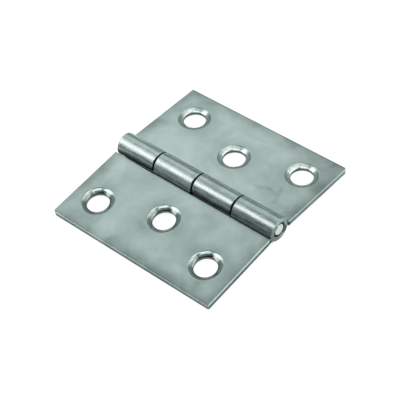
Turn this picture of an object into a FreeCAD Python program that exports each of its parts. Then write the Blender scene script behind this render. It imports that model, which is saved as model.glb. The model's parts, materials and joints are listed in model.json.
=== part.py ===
import FreeCAD, Part
import math
import os

# Butt hinge of two pressed steel leaves with rolled knuckles and a plain pin.
# Millimetres. X runs along the pin and Z points up. The origin lies on the pin's axis,
# halfway along the leaves.
# Each leaf is built in its own frame, where it lies flat and reaches out along +Y.

# Leaf blank
leaf_length = 60.0
leaf_reach = 31.7
sheet = 1.6
square_corner_radius = 0.3
round_corner_radius = 1.1
edge_round = 0.25

# Leaf face below the pin axis, so that the faces keep a small gap when the hinge is shut
face_drop = 0.08

# Pin
pin_diameter = 3.6
pin_end_chamfer = 0.12
pin_clearance = 0.3

# Rolled knuckles. The end knuckle of the front leaf was sheared longer and left sharp
knuckle_gap = 0.45
knuckle_inset = 0.4
sheared_end_inset = 0.1
knuckle_round = 0.3
roll_angle = 38.0
bend_radius = 2.0
straight_end_angle = 25.0
seam_gap = 0.25
seam_bevel = 0.15

# Notches beside the other leaf's knuckles
notch_clearance = 0.6
end_notch_outer_clearance = 0.4
end_notch_inner_clearance = 0.7

# Screw holes, pressed down into countersinks with a rounded shoulder
hole_diameter = 7.0
plain_hole_length = 0.85
countersink_angle = 100.0
shoulder_radius = 2.7
outer_hole_spacing = 41.7
outer_hole_reach = 21.5
middle_hole_reach = 15.5
hole_shift = 0.4

# Small nick in the middle of the front leaf's outer edge
nick_radius = 0.35
nick_place = 21.6

# Derived sizes
pin_radius = pin_diameter / 2.0
bore_radius = pin_radius + pin_clearance
barrel_radius = bore_radius + sheet
face_height = -face_drop
back_height = face_height - sheet
half_length = leaf_length / 2.0
round_end = half_length - knuckle_inset
sheared_end = half_length - sheared_end_inset
knuckle_pitch = leaf_length / 4.0
half_gap = knuckle_gap / 2.0
notch_line = barrel_radius + notch_clearance
overlap = 2.0

# Dip under the pin: its lower corner, before the bend rounds it, and where the flat leaf ends
tangent_angle = roll_angle - 90.0
dip_slope = math.tan(math.radians(roll_angle))
tangent_reach = barrel_radius * math.cos(math.radians(tangent_angle))
tangent_height = barrel_radius * math.sin(math.radians(tangent_angle))
lower_corner = tangent_reach + (back_height - tangent_height) / dip_slope
bend_start = lower_corner + bend_radius * math.tan(math.radians(roll_angle / 2.0))
root_line = max(bend_start, notch_line)

# Open angle at rest: the barrel and both outer edges touch the same flat ground
back_radius = math.hypot(leaf_reach, back_height)
leaf_droop = math.degrees(math.asin(barrel_radius / back_radius) - math.atan2(-back_height, leaf_reach))

centre = FreeCAD.Vector(0.0, 0.0, 0.0)
x_axis = FreeCAD.Vector(1.0, 0.0, 0.0)
z_axis = FreeCAD.Vector(0.0, 0.0, 1.0)


def point(y, z):
    return FreeCAD.Vector(0.0, y, z)


def on_circle(radius, degrees):
    angle = math.radians(degrees)
    return point(radius * math.cos(angle), radius * math.sin(angle))


def line(a, b):
    return Part.LineSegment(a, b).toShape()


def arc(a, middle, b):
    return Part.Arc(a, middle, b).toShape()


def bend_arc(centre, radius, start, end):
    middle = centre + on_circle(radius, (start + end) / 2.0)
    return arc(centre + on_circle(radius, start), middle, centre + on_circle(radius, end))


def roll_profile():
    # The sheet dips under the pin, rolls round it and lands on its own leaf again
    outer_tangent = on_circle(barrel_radius, tangent_angle)
    inner_tangent = on_circle(bore_radius, tangent_angle)
    lower_centre = point(bend_start, back_height - bend_radius)
    upper_radius = bend_radius + sheet
    bend_end = roll_angle + 90.0
    lower_slope_top = lower_centre + on_circle(bend_radius, bend_end)
    upper_slope_top = lower_centre + on_circle(upper_radius, bend_end)
    lower_bend = bend_arc(lower_centre, bend_radius, 90.0, bend_end)
    upper_bend = bend_arc(lower_centre, upper_radius, bend_end, 90.0)

    # The last of the roll stays straight and is cut square, just above the dipping sheet
    end_direction = on_circle(1.0, straight_end_angle - 90.0)
    inward = on_circle(1.0, straight_end_angle + 180.0)
    outer_straight = on_circle(barrel_radius, straight_end_angle)
    inner_straight = on_circle(bore_radius, straight_end_angle)
    end_height = face_height + seam_gap
    straight_length = (outer_straight.z - end_height) / math.cos(math.radians(straight_end_angle))
    outer_end = outer_straight + end_direction * straight_length
    inner_end = inner_straight + end_direction * straight_length
    bevel_top = outer_end - end_direction * seam_bevel
    bevel_low = outer_end + inward * seam_bevel

    roll_middle = (tangent_angle + straight_end_angle) / 2.0 + 180.0
    outer_middle = on_circle(barrel_radius, roll_middle)
    inner_middle = on_circle(bore_radius, roll_middle)
    flat_end = root_line + overlap

    edges = [
        line(point(flat_end, back_height), point(bend_start, back_height)),
        lower_bend,
        line(lower_slope_top, outer_tangent),
        arc(outer_tangent, outer_middle, outer_straight),
        line(outer_straight, bevel_top),
        line(bevel_top, bevel_low),
        line(bevel_low, inner_end),
        line(inner_end, inner_straight),
        arc(inner_straight, inner_middle, inner_tangent),
        line(inner_tangent, upper_slope_top),
        upper_bend,
        line(point(bend_start, face_height), point(flat_end, face_height)),
        line(point(flat_end, face_height), point(flat_end, back_height)),
    ]
    return Part.Face(Part.Wire(edges))


def is_arc_edge(edge, radius, x):
    # A full-width arc of the roll that lies in one end plane of the knuckle
    if not isinstance(edge.Curve, Part.Circle):
        return False
    if abs(edge.Curve.Radius - radius) > 1e-6:
        return False
    return abs(edge.BoundBox.XMin - x) < 1e-6 and abs(edge.BoundBox.XMax - x) < 1e-6


def knuckle(start, end, rounded_ends):
    profile = roll_profile()
    profile.translate(FreeCAD.Vector(start, 0.0, 0.0))
    roll = profile.extrude(FreeCAD.Vector(end - start, 0.0, 0.0))
    rims = []
    for edge in roll.Edges:
        for x in rounded_ends:
            if is_arc_edge(edge, barrel_radius, x) or is_arc_edge(edge, bore_radius, x):
                rims.append(edge)
    return roll.makeFillet(knuckle_round, rims)


def blank():
    corners = [
        FreeCAD.Vector(-half_length, root_line, back_height),
        FreeCAD.Vector(-knuckle_pitch - half_gap, root_line, back_height),
        FreeCAD.Vector(-knuckle_pitch - half_gap, notch_line, back_height),
        FreeCAD.Vector(half_gap, notch_line, back_height),
        FreeCAD.Vector(half_gap, root_line, back_height),
        FreeCAD.Vector(knuckle_pitch - half_gap, root_line, back_height),
        FreeCAD.Vector(knuckle_pitch - half_gap, barrel_radius + end_notch_inner_clearance, back_height),
        FreeCAD.Vector(half_length, barrel_radius + end_notch_outer_clearance, back_height),
        FreeCAD.Vector(half_length, leaf_reach, back_height),
        FreeCAD.Vector(-half_length, leaf_reach, back_height),
    ]
    outline = Part.Face(Part.makePolygon(corners + [corners[0]]))
    plate = outline.extrude(FreeCAD.Vector(0.0, 0.0, sheet))
    for side, radius in ((-half_length, square_corner_radius), (half_length, round_corner_radius)):
        posts = []
        for edge in plate.Edges:
            box = edge.BoundBox
            if box.ZLength > sheet / 2.0 and box.YMin > leaf_reach - 1e-6 and abs(box.XMin - side) < 1e-6:
                posts.append(edge)
        plate = plate.makeFillet(radius, posts)
    rims = []
    for edge in plate.Edges:
        box = edge.BoundBox
        on_face = abs(box.ZMin - face_height) < 1e-6 and box.ZLength < 1e-6
        on_side = box.XLength < 1e-6 and abs(abs(box.XMin) - half_length) < 1e-6
        if on_face and (on_side or box.YMax > leaf_reach - 1e-6):
            rims.append(edge)
    return plate.makeFillet(edge_round, rims)


def screw_hole(x, y):
    # Half section of the hole from its axis outwards, turned round that axis
    hole_radius = hole_diameter / 2.0
    lean = countersink_angle / 2.0
    turn = 90.0 - lean
    sink_depth = sheet - plain_hole_length
    cone_mouth = hole_radius + sink_depth * math.tan(math.radians(lean))
    tangent_length = shoulder_radius * math.tan(math.radians(turn / 2.0))
    mouth = point(cone_mouth + tangent_length, face_height)
    shoulder_centre = mouth + point(0.0, -shoulder_radius)
    shoulder_low = shoulder_centre + on_circle(shoulder_radius, 90.0 + turn)
    throat = point(hole_radius, face_height - sink_depth)
    floor = point(hole_radius, back_height - overlap)
    ceiling = point(mouth.y, face_height + overlap)
    edges = [
        line(point(0.0, floor.z), floor),
        line(floor, throat),
        line(throat, shoulder_low),
        bend_arc(shoulder_centre, shoulder_radius, 90.0 + turn, 90.0),
        line(mouth, ceiling),
        line(ceiling, point(0.0, ceiling.z)),
        line(point(0.0, ceiling.z), point(0.0, floor.z)),
    ]
    section = Part.Face(Part.Wire(edges))
    cutter = section.revolve(centre, z_axis, 360.0)
    cutter.translate(FreeCAD.Vector(x, y, 0.0))
    return cutter


def leaf(end_line, end_is_round):
    body = blank()
    inner_end = -knuckle_pitch - half_gap
    rounded_ends = (-end_line, inner_end) if end_is_round else (inner_end,)
    first = knuckle(-end_line, inner_end, rounded_ends)
    second = knuckle(half_gap, knuckle_pitch - half_gap, (half_gap, knuckle_pitch - half_gap))
    body = body.fuse([first, second]).removeSplitter()
    places = [
        (hole_shift - outer_hole_spacing / 2.0, outer_hole_reach),
        (hole_shift, middle_hole_reach),
        (hole_shift + outer_hole_spacing / 2.0, outer_hole_reach),
    ]
    for x, y in places:
        body = body.cut(screw_hole(x, y))
    return body


def nick():
    middle = FreeCAD.Vector(nick_place, leaf_reach, (face_height + back_height) / 2.0)
    return Part.makeSphere(nick_radius, middle)


def hinge_pin():
    start = FreeCAD.Vector(-round_end, 0.0, 0.0)
    body = Part.makeCylinder(pin_radius, round_end + sheared_end, start, x_axis)
    rims = []
    for edge in body.Edges:
        if edge.BoundBox.XLength < 1e-6:
            rims.append(edge)
    return body.makeChamfer(pin_end_chamfer, rims)


back_leaf = leaf(round_end, True)
front_leaf = leaf(sheared_end, False).cut(nick())

back_leaf.rotate(centre, x_axis, -leaf_droop)
front_leaf.rotate(centre, z_axis, 180.0)
front_leaf.rotate(centre, x_axis, leaf_droop)
pin = hinge_pin()

os.makedirs("parts", exist_ok=True)
front_leaf.exportStep("parts/front_leaf.step")
back_leaf.exportStep("parts/back_leaf.step")
pin.exportStep("parts/hinge_pin.step")

for name, shape in (("front_leaf", front_leaf), ("back_leaf", back_leaf), ("hinge_pin", pin)):
    box = shape.BoundBox
    print(name, shape.isValid(), len(shape.Solids), "volume", round(shape.Volume, 2))
    print("  x", round(box.XMin, 3), round(box.XMax, 3), "y", round(box.YMin, 3), round(box.YMax, 3))
    print("  z", round(box.ZMin, 3), round(box.ZMax, 3))
print("droop of each leaf", round(leaf_droop, 4))
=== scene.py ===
import json
import math
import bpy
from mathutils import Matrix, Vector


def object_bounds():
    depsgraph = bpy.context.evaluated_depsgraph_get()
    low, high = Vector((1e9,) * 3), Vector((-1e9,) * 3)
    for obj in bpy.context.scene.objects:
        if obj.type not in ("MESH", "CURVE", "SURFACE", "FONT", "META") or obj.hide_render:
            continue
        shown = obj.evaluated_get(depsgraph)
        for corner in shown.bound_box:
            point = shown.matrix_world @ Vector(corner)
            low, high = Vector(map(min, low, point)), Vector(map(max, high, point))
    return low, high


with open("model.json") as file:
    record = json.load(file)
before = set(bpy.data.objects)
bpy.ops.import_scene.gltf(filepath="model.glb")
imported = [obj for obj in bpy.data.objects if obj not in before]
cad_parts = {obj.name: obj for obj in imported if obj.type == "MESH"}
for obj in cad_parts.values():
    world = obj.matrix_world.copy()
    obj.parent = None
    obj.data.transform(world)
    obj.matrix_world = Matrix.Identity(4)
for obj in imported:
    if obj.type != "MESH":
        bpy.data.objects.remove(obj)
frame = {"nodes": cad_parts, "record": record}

from types import SimpleNamespace

import bpy
from mathutils import Vector

# Butt hinge of zinc plated steel sheet, lying open and face up.
# Metres, in the CAD frame: X along the pin, Y towards the back leaf, Z up.
# The origin is on the pin's axis, halfway along the leaves.
# The finishes work in millimetres, which is what their patterns were sized in.

cadLow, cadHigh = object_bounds()
millimetre = 0.001
toMillimetres = (1.0 / millimetre, 1.0 / millimetre, 1.0 / millimetre)
mounts = {mount["name"]: mount for mount in frame["record"]["mounts"]}
print("frame loaded:", sorted(frame["nodes"]))


# Small helpers for the node trees. A value may be a number or another node's output.

def feed(tree, socket, value):
    if isinstance(value, bpy.types.NodeSocket):
        tree.links.new(value, socket)
    else:
        socket.default_value = value


def calc(tree, operation, *values, clamp=False):
    node = tree.nodes.new("ShaderNodeMath")
    node.operation = operation
    node.use_clamp = clamp
    for socket, value in zip(node.inputs, values):
        feed(tree, socket, value)
    return node.outputs["Value"]


def both(tree, first, second):
    return calc(tree, "MULTIPLY", first, second)


def addTo(tree, base, share, amount):
    return calc(tree, "MULTIPLY_ADD", share, amount, base)


def hypot(tree, first, second):
    squares = calc(tree, "MULTIPLY_ADD", first, first, both(tree, second, second))
    return calc(tree, "SQRT", squares)


def fade(tree, value, ends, low=0.0, high=1.0):
    # Smooth step from low at the first end to high at the second
    node = tree.nodes.new("ShaderNodeMapRange")
    node.interpolation_type = "SMOOTHSTEP"
    feed(tree, node.inputs["Value"], value)
    fromValue, toValue = ends
    if fromValue > toValue:
        fromValue, toValue, low, high = toValue, fromValue, high, low
    settings = {"From Min": fromValue, "From Max": toValue, "To Min": low, "To Max": high}
    for name, setting in settings.items():
        node.inputs[name].default_value = setting
    return node.outputs["Result"]


def lerp(tree, share, low, high):
    node = tree.nodes.new("ShaderNodeMix")
    node.data_type = "FLOAT"
    feed(tree, node.inputs[0], share)
    feed(tree, node.inputs[2], low)
    feed(tree, node.inputs[3], high)
    return node.outputs[0]


def lerpColour(tree, share, low, high):
    node = tree.nodes.new("ShaderNodeMix")
    node.data_type = "RGBA"
    feed(tree, node.inputs[0], share)
    feed(tree, node.inputs[6], low)
    feed(tree, node.inputs[7], high)
    return node.outputs[2]


def stretch(tree, place, scale, shift=(0.0, 0.0, 0.0), turn=(0.0, 0.0, 0.0)):
    node = tree.nodes.new("ShaderNodeMapping")
    tree.links.new(place, node.inputs["Vector"])
    node.inputs["Scale"].default_value = scale
    node.inputs["Location"].default_value = shift
    node.inputs["Rotation"].default_value = turn
    return node.outputs["Vector"]


def cloud(tree, place, scale, detail=2.0, roughness=0.5, distortion=0.0):
    # Noise about 0, roughly from -1 to 1. The scale is how many lumps fit in a millimetre.
    node = tree.nodes.new("ShaderNodeTexNoise")
    tree.links.new(place, node.inputs["Vector"])
    node.inputs["Scale"].default_value = scale
    node.inputs["Detail"].default_value = detail
    node.inputs["Roughness"].default_value = roughness
    node.inputs["Distortion"].default_value = distortion
    return calc(tree, "MULTIPLY_ADD", node.outputs["Fac"], 4.0, -2.0)


def split(tree, vector):
    node = tree.nodes.new("ShaderNodeSeparateXYZ")
    tree.links.new(vector, node.inputs["Vector"])
    return node.outputs["X"], node.outputs["Y"], node.outputs["Z"]


def apart(tree, first, second, place):
    # Distance in a plane from a fixed place
    across = calc(tree, "SUBTRACT", first, place[0])
    along = calc(tree, "SUBTRACT", second, place[1])
    return hypot(tree, across, along)


def fromLine(tree, first, second, start, end):
    # Distance in a plane from a short straight line
    stepX, stepY = end[0] - start[0], end[1] - start[1]
    squared = stepX * stepX + stepY * stepY
    across = calc(tree, "SUBTRACT", first, start[0])
    along = calc(tree, "SUBTRACT", second, start[1])
    share = both(tree, across, stepX / squared)
    share = calc(tree, "MULTIPLY_ADD", along, stepY / squared, share, clamp=True)
    return hypot(tree, addTo(tree, across, share, -stepX), addTo(tree, along, share, -stepY))


def newMaterial(name):
    made = bpy.data.materials.new(name)
    made.use_nodes = True
    return made, made.node_tree, made.node_tree.nodes["Principled BSDF"]


def coverMetal(tree, shader, coat, deep, bright):
    # Tones run from 0, deep, to 1, bright. Heights are in millimetres.
    feed(tree, shader.inputs["Base Color"], lerpColour(tree, coat.tone, deep, bright))
    feed(tree, shader.inputs["Roughness"], coat.roughness)
    shader.inputs["Metallic"].default_value = 1.0
    bump = tree.nodes.new("ShaderNodeBump")
    bump.inputs["Strength"].default_value = 1.0
    bump.inputs["Distance"].default_value = millimetre
    tree.links.new(coat.height, bump.inputs["Height"])
    tree.links.new(bump.outputs["Normal"], shader.inputs["Normal"])


camera = {
    "place": (0.191656, -0.180469, 0.277264),
    "turn": (0.742356, 0.099493, 0.709179),
    "lens": 117.733,
    "sensorWidth": 36.0,
    "clip": (0.02, 20.0),
}


def addCamera():
    data = bpy.data.cameras.new("camera")
    data.lens = camera["lens"]
    data.sensor_width = camera["sensorWidth"]
    data.clip_start, data.clip_end = camera["clip"]
    eye = bpy.data.objects.new("camera", data)
    eye.location = camera["place"]
    eye.rotation_euler = camera["turn"]
    bpy.context.scene.collection.objects.link(eye)
    bpy.context.scene.camera = eye


# Even light all round, but for a dark side of the room behind the table's front.
# The spread gives the cosines, from that side's middle, where it is fully dark and fully lit.
room = {
    "colour": (0.75, 1.0, 0.95, 1.0),
    "strength": 0.38,
    "darkSide": (0.36, -0.60, 0.71),
    "darkSpread": (0.92, 0.70),
}


def addRoom():
    world = bpy.data.worlds.new("studioSky")
    world.use_nodes = True
    tree = world.node_tree
    background = tree.nodes["Background"]
    background.inputs["Color"].default_value = room["colour"]
    aim = tree.nodes.new("ShaderNodeVectorMath")
    aim.operation = "DOT_PRODUCT"
    tree.links.new(tree.nodes.new("ShaderNodeTexCoord").outputs["Generated"], aim.inputs[0])
    aim.inputs[1].default_value = room["darkSide"]
    strength = fade(tree, aim.outputs["Value"], room["darkSpread"], 0.0, room["strength"])
    tree.links.new(strength, background.inputs["Strength"])
    bpy.context.scene.world = world
    bpy.context.scene.view_settings.view_transform = "Standard"


# A lit acrylic table. In the strip that the barrel lies on its glow is off and it is near black, a
# painted shadow.
# The table is given in metres, and the strip in millimetres.
table = {
    "half": 3.0,
    "colour": (0.17, 0.17, 0.17, 1.0),
    "roughness": 0.9,
    "glowColour": (1.0, 1.0, 1.0, 1.0),
    "glow": 0.90,
    "shadeColour": (0.004, 0.005, 0.005, 1.0),
    "shadeHalfLength": 29.0,
    "shadeHalfWidth": 5.0,
    "shadeBlend": 1.5,
}


def litAcrylic():
    made, tree, shader = newMaterial("litAcrylic")
    place = tree.nodes.new("ShaderNodeTexCoord").outputs["Object"]
    x, y = split(tree, stretch(tree, place, toMillimetres))[:2]
    length, width, blend = table["shadeHalfLength"], table["shadeHalfWidth"], table["shadeBlend"]
    inLength = fade(tree, calc(tree, "ABSOLUTE", x), (length, length - blend))
    inWidth = fade(tree, calc(tree, "ABSOLUTE", y), (width, width - blend))
    shade = both(tree, inLength, inWidth)
    # painted shadow: near black, unlit colour in the strip under the barrel
    surface = lerpColour(tree, shade, table["colour"], table["shadeColour"])
    feed(tree, shader.inputs["Base Color"], surface)
    feed(tree, shader.inputs["Emission Strength"], lerp(tree, shade, table["glow"], 0.0))
    shader.inputs["Emission Color"].default_value = table["glowColour"]
    shader.inputs["Roughness"].default_value = table["roughness"]
    return made


def addTable():
    half, top = table["half"], cadLow.z
    corners = [(-half, -half, top), (half, -half, top), (half, half, top), (-half, half, top)]
    mesh = bpy.data.meshes.new("floor")
    mesh.from_pydata(corners, [], [(0, 1, 2, 3)])
    mesh.materials.append(litAcrylic())
    floor = bpy.data.objects.new("floor", mesh)
    bpy.context.scene.collection.objects.link(floor)


# Soft boxes: direction from the hinge, distance, size across and down, colour and radiance
softBoxes = {
    "zenith": {
        "towards": (0.1, 0.15, 0.98), "distance": 1.0, "size": (0.4, 0.4),
        "colour": (1.0, 0.917, 0.927), "radiance": 1.96,
    },
    "overRight": {
        "towards": (0.45, 0.2, 0.87), "distance": 1.0, "size": (0.35, 0.4),
        "colour": (1.0, 0.909, 0.927), "radiance": 1.17,
    },
    "overBack": {
        "towards": (0.15, 0.55, 0.82), "distance": 1.0, "size": (0.5, 0.35),
        "colour": (1.0, 0.943, 0.953), "radiance": 1.06,
    },
    "overFront": {
        "towards": (0.13, -0.37, 0.92), "distance": 1.0, "size": (0.66, 0.38),
        "colour": (0.95, 1.0, 0.98), "radiance": 2.40,
    },
    "leftFront": {
        "towards": (-0.48, -0.52, 0.71), "distance": 1.0, "size": (0.36, 0.36),
        "colour": (1.0, 0.893, 0.92), "radiance": 2.80,
    },
    "left": {
        "towards": (-0.665, -0.21, 0.715), "distance": 1.0, "size": (0.40, 0.39),
        "colour": (1.0, 0.893, 0.911), "radiance": 2.30,
    },
    "leftLow": {
        "towards": (-0.72, -0.55, 0.42), "distance": 1.0, "size": (0.4, 0.3),
        "colour": (1.0, 0.943, 0.962), "radiance": 2.60,
    },
    "behind": {
        "towards": (-0.5, 0.53, 0.69), "distance": 1.4, "size": (1.1, 0.6),
        "colour": (1.0, 0.99, 0.97), "radiance": 0.9,
    },
    "behindHigh": {
        "towards": (-0.55, 0.15, 0.82), "distance": 1.0, "size": (0.4, 0.3),
        "colour": (0.94, 1.0, 1.0), "radiance": 0.39,
    },
    "lowBack": {
        "towards": (0.22, 0.95, 0.2), "distance": 1.0, "size": (0.55, 0.25),
        "colour": (0.9, 1.0, 0.95), "radiance": 0.27,
    },
    "right": {
        "towards": (0.64, 0.44, 0.63), "distance": 1.0, "size": (0.45, 0.45),
        "colour": (1.0, 0.943, 0.906), "radiance": 2.10,
    },
    "rightLow": {
        "towards": (0.85, 0.35, 0.4), "distance": 1.0, "size": (0.36, 0.3),
        "colour": (0.85, 1.0, 1.0), "radiance": 1.0,
    },
    "rightBack": {
        "towards": (0.45, 0.75, 0.48), "distance": 1.0, "size": (0.4, 0.3),
        "colour": (1.0, 0.893, 0.938), "radiance": 2.24,
    },
}


def addSoftBox(name, box):
    across, down = box["size"]
    light = bpy.data.lights.new(name, "AREA")
    light.shape = "RECTANGLE"
    light.size = across
    light.size_y = down
    light.color = box["colour"]
    light.energy = math.pi * across * down * box["radiance"]
    lamp = bpy.data.objects.new(name, light)
    away = Vector(box["towards"]).normalized()
    lamp.location = away * box["distance"]
    lamp.rotation_mode = "QUATERNION"
    lamp.rotation_quaternion = away.to_track_quat("Z", "Y")
    bpy.context.scene.collection.objects.link(lamp)


def buildStudio():
    addRoom()
    addTable()
    for name, box in softBoxes.items():
        addSoftBox(name, box)
    addCamera()
    print("studio: room, table,", len(softBoxes), "soft boxes and a camera")


# From here on, lengths are in millimetres and tones run from 0 (deep) to 1 (bright).
# Where a setting is a fade, its two numbers say where the fade starts and where it is full.

def layFlat(mount):
    # A mount's lean about the pin, its place along the pin, and its place out from it
    x, y, z = (value / millimetre for value in mount["pos_m"])
    lean = math.atan2(mount["axis"][1], mount["axis"][2])
    return lean, x, abs(y * math.cos(lean) - z * math.sin(lean))


def leafShape(side):
    # The leaf's lean, outline and holes, as the frame gives them
    outer, middle = mounts[side + "_outer_screws"], mounts[side + "_middle_screw"]
    lean, x, out = layFlat(outer)
    half = outer["dims"]["pcd_mm"] / 2.0
    vertices = frame["nodes"][side + "_leaf"].data.vertices
    outs = (abs(spot.co.y * math.cos(lean) - spot.co.z * math.sin(lean)) for spot in vertices)
    return SimpleNamespace(
        lean=lean,
        outward=math.copysign(1.0, outer["pos_m"][1]),
        halfLength=cadHigh.x / millimetre,
        reach=max(outs) / millimetre,
        holeRadius=middle["dims"]["r_mm"],
        holes=[(x - half, out), (x + half, out), layFlat(middle)[1:]],
    )


def leafPlaces(tree, shape):
    # Where a spot is on the leaf when it is laid flat
    texture = tree.nodes.new("ShaderNodeTexCoord")
    flat = stretch(tree, texture.outputs["Object"], toMillimetres, turn=(shape.lean, 0.0, 0.0))
    at = SimpleNamespace(flat=flat)
    at.x, at.y, at.z = split(tree, flat)
    at.out = calc(tree, "ABSOLUTE", at.y)
    at.fromMiddle = calc(tree, "ABSOLUTE", at.x)
    at.fromPin = hypot(tree, at.y, at.z)
    at.sideGap = calc(tree, "SUBTRACT", shape.halfLength, at.fromMiddle)
    at.endGap = calc(tree, "SUBTRACT", shape.reach, at.out)
    at.edgeGap = calc(tree, "MINIMUM", at.sideGap, at.endGap)
    at.endOn = calc(tree, "ABSOLUTE", split(tree, texture.outputs["Normal"])[0])
    return at


# Soft clouds, lesser patches, a fine grain, a darker border that is painted shade, and painted shade
# towards +X
sheet = {
    "roughness": 0.30,
    "drift": {"scale": 1.0 / 11.0, "detail": 3.0, "roughness": 0.55, "distortion": 0.6},
    "driftTone": 0.15,
    "driftRoughness": 0.025,
    "driftHeight": 0.010,
    "patch": {"scale": 0.22, "detail": 4.0},
    "patchShift": (40.0, 7.0, 3.0),
    "patchTone": 0.05,
    "patchRoughness": 0.015,
    "patchHeight": 0.0020,
    "grain": {"scale": 1.0 / 0.30, "detail": 2.0},
    "grainTone": 0.02,
    "grainHeight": 0.0006,
    "border": (5.5, -1.0),
    "borderWander": 0.4,
    "borderTone": -0.28,
    "dulled": (4.0, 24.0),
    "smear": (1.1, 0.2),
    "smearWander": 0.3,
    "smearTone": -0.07,
}


def sheetCoat(tree, at, look):
    at.drift = cloud(tree, at.flat, **sheet["drift"])
    shifted = stretch(tree, at.flat, (1.0, 1.0, 1.0), shift=sheet["patchShift"])
    at.patch = cloud(tree, shifted, **sheet["patch"])
    at.grain = cloud(tree, at.flat, **sheet["grain"])
    border = fade(tree, addTo(tree, at.edgeGap, at.drift, sheet["borderWander"]), sheet["border"])
    tone = addTo(tree, look["tone"], at.drift, sheet["driftTone"])
    # painted shade: the leaf darkens towards +X, by an amount each leaf's look gives
    tone = addTo(tree, tone, fade(tree, at.x, sheet["dulled"]), look["dulledTone"])
    tone = addTo(tree, tone, at.patch, sheet["patchTone"])
    tone = addTo(tree, tone, at.grain, sheet["grainTone"])
    # painted shade: darker towards the leaf's edges
    tone = addTo(tree, tone, border, sheet["borderTone"])
    for start, end in look["smears"]:
        gap = addTo(tree, fromLine(tree, at.x, at.out, start, end), at.patch, sheet["smearWander"])
        tone = addTo(tree, tone, fade(tree, gap, sheet["smear"]), sheet["smearTone"])
    roughness = addTo(tree, sheet["roughness"], at.drift, sheet["driftRoughness"])
    roughness = addTo(tree, roughness, at.patch, sheet["patchRoughness"])
    height = addTo(tree, both(tree, at.drift, sheet["driftHeight"]), at.patch, sheet["patchHeight"])
    return SimpleNamespace(tone=tone, roughness=roughness, height=height)


# Countersinks: pressed rings, a duller halo, a cone in painted light and shade, and a wall in painted
# shade.
# The radii of the cone, the wall and the lip's foot are counted from the hole.
# A painted dark reflection lies off it along X and Y.
sink = {
    "mouthRadius": 5.4,
    "pressedWidth": 0.5,
    "haloWidth": 4.5,
    "haloTone": -0.10,
    "tone": 0.62,
    "patchTone": 0.06,
    "ringPitch": 0.42,
    "ringWander": 0.05,
    "ringTone": 0.035,
    "ringHeight": 0.0008,
    "cone": (1.0, 0.6),
    "wall": (0.12, 0.02),
    "wallTone": 0.08,
    "lipInset": 0.1,
    "lipFoot": 0.6,
    "lipDrop": -0.22,
    "oilOffset": (-2.1, 3.5),
    "oil": (2.3, 1.6),
    "oilRim": (4.45, 4.15),
}


def pressSinks(tree, at, shape, look, coat):
    gap = oil = None
    for x, out in shape.holes:
        here = apart(tree, at.x, at.out, (x, out))
        # painted reflection: a dark patch in each cone, off the hole along X and Y
        aside, outward = sink["oilOffset"]
        darkReflectionPlace = (x + aside, out + outward * shape.outward)
        darkReflectionPatch = fade(tree, apart(tree, at.x, at.out, darkReflectionPlace), sink["oil"])
        darkReflectionPatch = both(tree, darkReflectionPatch, fade(tree, here, sink["oilRim"]))
        gap = here if gap is None else calc(tree, "MINIMUM", gap, here)
        oil = darkReflectionPatch if oil is None else calc(tree, "MAXIMUM", oil, darkReflectionPatch)
    mouth, hole = sink["mouthRadius"], shape.holeRadius
    halo = fade(tree, gap, (mouth + sink["haloWidth"], mouth))
    pressed = fade(tree, gap, (mouth, mouth - sink["pressedWidth"]))
    cone = fade(tree, gap, [hole + width for width in sink["cone"]])
    wall = fade(tree, gap, [hole + width for width in sink["wall"]])
    wandering = addTo(tree, gap, at.drift, sink["ringWander"])
    rings = calc(tree, "SINE", both(tree, wandering, 2.0 * math.pi / sink["ringPitch"]))

    tone = addTo(tree, sink["tone"], rings, sink["ringTone"])
    tone = addTo(tree, tone, at.patch, sink["patchTone"])
    # painted light and shade: the cone is darker on the front leaf and brighter on the back
    tone = addTo(tree, tone, cone, look["coneTone"])
    # painted reflection: the dark patch in the front leaf's cones
    tone = addTo(tree, tone, oil, look["oilInHoles"])
    # painted shade: the hole's wall is painted dark
    tone = lerp(tree, wall, tone, sink["wallTone"])
    coat.tone = lerp(tree, pressed, addTo(tree, coat.tone, halo, sink["haloTone"]), tone)
    coat.roughness = lerp(tree, pressed, coat.roughness, look["sinkRoughness"])

    # The pressing has flattened the grain, left its own rings and drawn the lip down
    grain = calc(tree, "SUBTRACT", at.grain, both(tree, at.grain, pressed))
    lip = fade(tree, gap, (mouth - sink["lipInset"], hole + sink["lipFoot"]))
    coat.height = addTo(tree, coat.height, grain, sheet["grainHeight"])
    coat.height = addTo(tree, coat.height, both(tree, pressed, rings), sink["ringHeight"])
    coat.height = addTo(tree, coat.height, lip, sink["lipDrop"])


# Painted highlights along the upper edges, a dark line inside the long ones, and sheared faces that
# are rougher and darker towards the bottom
edge = {
    "upper": (-0.6, -0.3),
    "worn": (0.30, 0.05),
    "wornTone": 0.40,
    "wornEndTone": 0.12,
    "scoredFrom": (0.62, 0.46),
    "scoredTo": (0.22, 0.36),
    "scoredTone": -0.14,
    "sheared": (0.06, 0.02),
    "tear": {"scale": 1.0, "detail": 3.0},
    "tearStretch": (3.0, 3.0, 0.5),
    "tearWander": 0.10,
    "tearTone": 0.25,
    "torn": (-0.45, -0.75),
    "tornRoughness": 0.15,
    "tornHeight": 0.006,
}


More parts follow.
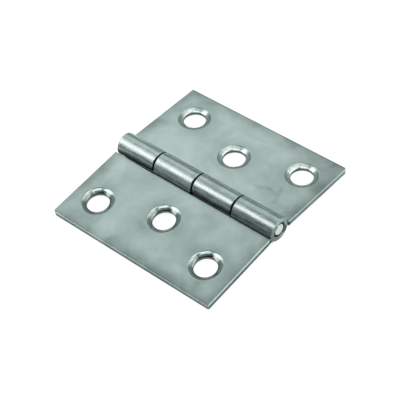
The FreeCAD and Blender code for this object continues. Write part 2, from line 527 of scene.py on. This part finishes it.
def wearEdges(tree, at, look, coat):
    upper = fade(tree, at.z, edge["upper"])
    edgeHighlightSide = both(tree, fade(tree, at.sideGap, edge["worn"]), upper)
    edgeHighlightEnd = both(tree, fade(tree, at.endGap, edge["worn"]), upper)
    scored = fade(tree, at.endGap, edge["scoredFrom"])
    scored = both(tree, scored, fade(tree, at.endGap, edge["scoredTo"]))
    # painted highlight: a bright line along the upper edges, where the rounded edges catch the light
    coat.tone = addTo(tree, coat.tone, edgeHighlightSide, edge["wornTone"])
    coat.tone = addTo(tree, coat.tone, edgeHighlightEnd, edge["wornEndTone"])
    coat.tone = addTo(tree, coat.tone, scored, edge["scoredTone"])

    at.sheared = fade(tree, at.edgeGap, edge["sheared"])
    tear = cloud(tree, stretch(tree, at.flat, edge["tearStretch"]), **edge["tear"])
    low = fade(tree, addTo(tree, at.z, tear, edge["tearWander"]), edge["torn"])
    torn = both(tree, at.sheared, low)
    # the sheared faces are darker towards the bottom, the front leaf's more than the back's
    tornTone = both(tree, addTo(tree, 1.0, tear, edge["tearTone"]), look["tornTone"])
    coat.tone = addTo(tree, coat.tone, torn, tornTone)
    coat.roughness = addTo(tree, coat.roughness, torn, edge["tornRoughness"])
    coat.height = addTo(tree, coat.height, both(tree, torn, tear), edge["tornHeight"])


# Barrel: drawn streaks along the pin, different on each knuckle, and blotches.
# Painted shade darkens it below and more past the other leaf's notch, and dims its highlight at one
# end.
barrel = {
    "radius": cadHigh.z / millimetre,
    "edge": (0.35, 0.15),
    "pitch": 15.0,
    "tone": 0.57,
    "roughness": 0.29,
    "streak": {"scale": 2.4, "detail": 4.0, "roughness": 0.6},
    "streakLength": 0.10,
    "streakShift": 17.0,
    "streakTone": 0.20,
    "streakRoughness": 0.06,
    "streakHeight": 0.0035,
    "blotch": {"scale": 0.35, "detail": 4.0, "roughness": 0.6},
    "blotchTone": 0.09,
    "blotchHeight": 0.004,
    "dirtHeight": (2.9, 1.3),
    "dirtTone": -0.24,
    "farSide": (-3.1, -3.6),
    "farSideHeight": (1.2, 0.35),
    "farSideTone": -0.32,
    "handledEnd": (14.9, 15.1),
    "handledHeight": (3.3, 2.5),
    "handledSide": (0.0, -1.0),
    "handledTone": -0.14,
}


def rollBarrel(tree, at, shape, coat):
    at.onBarrel = fade(tree, at.fromPin, [barrel["radius"] + width for width in barrel["edge"]])
    knuckle = calc(tree, "FLOOR", calc(tree, "DIVIDE", at.x, barrel["pitch"]))
    drawn = tree.nodes.new("ShaderNodeCombineXYZ")
    drawnX = addTo(tree, both(tree, at.x, barrel["streakLength"]), knuckle, barrel["streakShift"])
    for axis, value in zip("XYZ", (drawnX, at.y, at.z)):
        feed(tree, drawn.inputs[axis], value)
    streak = cloud(tree, drawn.outputs["Vector"], **barrel["streak"])
    at.blotch = cloud(tree, at.flat, **barrel["blotch"])

    farSide = fade(tree, both(tree, at.y, shape.outward), barrel["farSide"])
    farSide = both(tree, farSide, fade(tree, at.z, barrel["farSideHeight"]))
    # painted shade: dims the barrel's top front past X = 15, where its highlight falls
    dimmedHighlight = fade(tree, at.x, barrel["handledEnd"])
    dimmedHighlight = both(tree, dimmedHighlight, fade(tree, at.z, barrel["handledHeight"]))
    dimmedHighlight = both(tree, dimmedHighlight, fade(tree, at.y, barrel["handledSide"]))
    tone = addTo(tree, barrel["tone"], streak, barrel["streakTone"])
    tone = addTo(tree, tone, at.blotch, barrel["blotchTone"])
    # painted shade: darker towards the bottom of the barrel
    tone = addTo(tree, tone, fade(tree, at.z, barrel["dirtHeight"]), barrel["dirtTone"])
    # painted shade: darker low on the far side, past the other leaf's notch
    tone = addTo(tree, tone, farSide, barrel["farSideTone"])
    tone = addTo(tree, tone, dimmedHighlight, barrel["handledTone"])
    roughness = addTo(tree, barrel["roughness"], streak, barrel["streakRoughness"])
    height = both(tree, streak, barrel["streakHeight"])
    height = addTo(tree, height, at.blotch, barrel["blotchHeight"])
    coat.tone = lerp(tree, at.onBarrel, coat.tone, tone)
    coat.roughness = lerp(tree, at.onBarrel, coat.roughness, roughness)
    coat.height = lerp(tree, at.onBarrel, coat.height, height)


# Painted shade, near black, in the bores, with more of it on two sides, between the knuckles and in
# the notches. A patch of painted shade lies on the end of the barrel.
gapShade = {
    "tone": 0.02,
    "roughness": 0.6,
    "boreRadius": 2.1,
    "boreEdge": (0.12, 0.02),
    "moreTowards": (0.87, 0.5),
    "more": -0.05,
    "facingEnd": (0.6, 0.9),
    "inside": (28.0, 27.0),
    "notch": (4.9, 4.6),
    "notchHeight": (-0.2, -0.35),
    "runPlace": (2.1, -1.7),
    "runWander": 0.25,
    "run": (1.5, 0.8),
    "runEnd": (29.0, 29.5),
    "runTone": -0.55,
}


def shadeGaps(tree, at, coat):
    towardsY, towardsZ = gapShade["moreTowards"]
    lopsided = addTo(tree, both(tree, at.y, towardsY), at.z, towardsZ)
    shadedGap = addTo(tree, at.fromPin, both(tree, lopsided, lopsided), gapShade["more"])
    inBore = fade(tree, shadedGap, [gapShade["boreRadius"] + width for width in gapShade["boreEdge"]])
    between = fade(tree, at.endOn, gapShade["facingEnd"])
    between = both(tree, between, fade(tree, at.fromMiddle, gapShade["inside"]))
    inNotch = both(tree, fade(tree, at.out, gapShade["notch"]), fade(tree, at.z, gapShade["notchHeight"]))
    paintedShade = calc(tree, "MAXIMUM", both(tree, inBore, at.onBarrel), both(tree, between, at.onBarrel))
    offBarrel = calc(tree, "SUBTRACT", 1.0, at.onBarrel)
    paintedShade = calc(tree, "MAXIMUM", paintedShade, both(tree, inNotch, offBarrel))
    # painted shade: the bores, the gaps between knuckles and the notches are painted near black
    coat.tone = lerp(tree, paintedShade, coat.tone, gapShade["tone"])
    coat.roughness = lerp(tree, paintedShade, coat.roughness, gapShade["roughness"])

    # painted shade: a dark patch on the end face of the barrel's last knuckle
    endShadeGap = addTo(tree, apart(tree, at.y, at.z, gapShade["runPlace"]), at.blotch, gapShade["runWander"])
    run = both(tree, fade(tree, endShadeGap, gapShade["run"]), fade(tree, at.x, gapShade["runEnd"]))
    coat.tone = addTo(tree, coat.tone, both(tree, run, at.onBarrel), gapShade["runTone"])


# Bright zinc on pressed sheet, with a greener film on the sheared faces and the barrel's ends
zinc = {
    "deep": (0.040, 0.063, 0.060, 1.0),
    "bright": (0.625, 0.710, 0.692, 1.0),
    "sheared": (0.500, 0.690, 0.650, 1.0),
    "filmedEnd": (0.8, 0.95),
}

# A smear is a short line of oil, with its ends given along the pin and out from it
leafLooks = {
    "front": {
        "tone": 0.61,
        "dulledTone": 0.0,
        "tornTone": -0.27,
        "coneTone": -0.25,
        "oilInHoles": -0.34,
        "sinkRoughness": 0.21,
        "smears": [],
    },
    "back": {
        "tone": 0.655,
        "dulledTone": -0.125,
        "tornTone": -0.05,
        "coneTone": 0.22,
        "oilInHoles": 0.0,
        "sinkRoughness": 0.27,
        "smears": [
            ((20.0, 13.7), (22.0, 7.7)),
            ((13.0, 9.7), (17.5, 11.2)),
            ((17.5, 11.2), (20.5, 10.2)),
        ],
    },
}


def leafFinish(name, side):
    made, tree, shader = newMaterial(name)
    look, shape = leafLooks[side], leafShape(side)
    at = leafPlaces(tree, shape)
    coat = sheetCoat(tree, at, look)
    pressSinks(tree, at, shape, look, coat)
    wearEdges(tree, at, look, coat)
    rollBarrel(tree, at, shape, coat)
    shadeGaps(tree, at, coat)
    rollEnds = both(tree, at.onBarrel, fade(tree, at.endOn, zinc["filmedEnd"]))
    filmed = calc(tree, "MAXIMUM", at.sheared, rollEnds)
    bright = lerpColour(tree, filmed, zinc["bright"], zinc["sheared"])
    coverMetal(tree, shader, coat, zinc["deep"], bright)
    print("finish:", name, "with", len(shape.holes), "countersinks and", len(look["smears"]), "smears")
    return made


# Plain drawn wire, cropped and left bright at its ends
pinSteel = {
    "deep": (0.09, 0.12, 0.12, 1.0),
    "bright": (0.81, 0.89, 0.86, 1.0),
    "sideTone": 0.45,
    "endTone": 0.70,
    "roughness": 0.26,
    "cropped": (29.45, 29.55),
    "shear": {"scale": 0.9, "detail": 4.0},
    "shearStretch": (1.0, 2.2, 0.9),
    "shearTurn": (0.5, 0.0, 0.0),
    "shearTone": 0.06,
    "shearRoughness": 0.04,
    "shearHeight": 0.006,
    "grain": {"scale": 5.0, "detail": 2.0},
    "grainTone": 0.02,
    "grainHeight": 0.0008,
    "rim": (1.2, 1.5),
    "rimTone": -0.08,
}


def pinFinish(name):
    made, tree, shader = newMaterial(name)
    place = tree.nodes.new("ShaderNodeTexCoord").outputs["Object"]
    inside = stretch(tree, place, toMillimetres)
    x, y, z = split(tree, inside)
    cropped = fade(tree, calc(tree, "ABSOLUTE", x), pinSteel["cropped"])
    slanted = stretch(tree, inside, pinSteel["shearStretch"], turn=pinSteel["shearTurn"])
    shear = cloud(tree, slanted, **pinSteel["shear"])
    grain = cloud(tree, inside, **pinSteel["grain"])
    rim = both(tree, cropped, fade(tree, hypot(tree, y, z), pinSteel["rim"]))
    tone = lerp(tree, cropped, pinSteel["sideTone"], pinSteel["endTone"])
    tone = addTo(tree, tone, both(tree, shear, cropped), pinSteel["shearTone"])
    tone = addTo(tree, tone, grain, pinSteel["grainTone"])
    tone = addTo(tree, tone, rim, pinSteel["rimTone"])
    roughness = addTo(tree, pinSteel["roughness"], shear, pinSteel["shearRoughness"])
    height = addTo(tree, both(tree, shear, pinSteel["shearHeight"]), grain, pinSteel["grainHeight"])
    coat = SimpleNamespace(tone=tone, roughness=roughness, height=height)
    coverMetal(tree, shader, coat, pinSteel["deep"], pinSteel["bright"])
    print("finish:", name)
    return made


def finishNodes():
    finishes = {
        "front_leaf": leafFinish("zincFront", "front"),
        "back_leaf": leafFinish("zincBack", "back"),
        "hinge_pin": pinFinish("pinSteel"),
    }
    for name, coat in finishes.items():
        node = frame["nodes"][name]
        node.data.materials.clear()
        node.data.materials.append(coat)


buildStudio()
finishNodes()
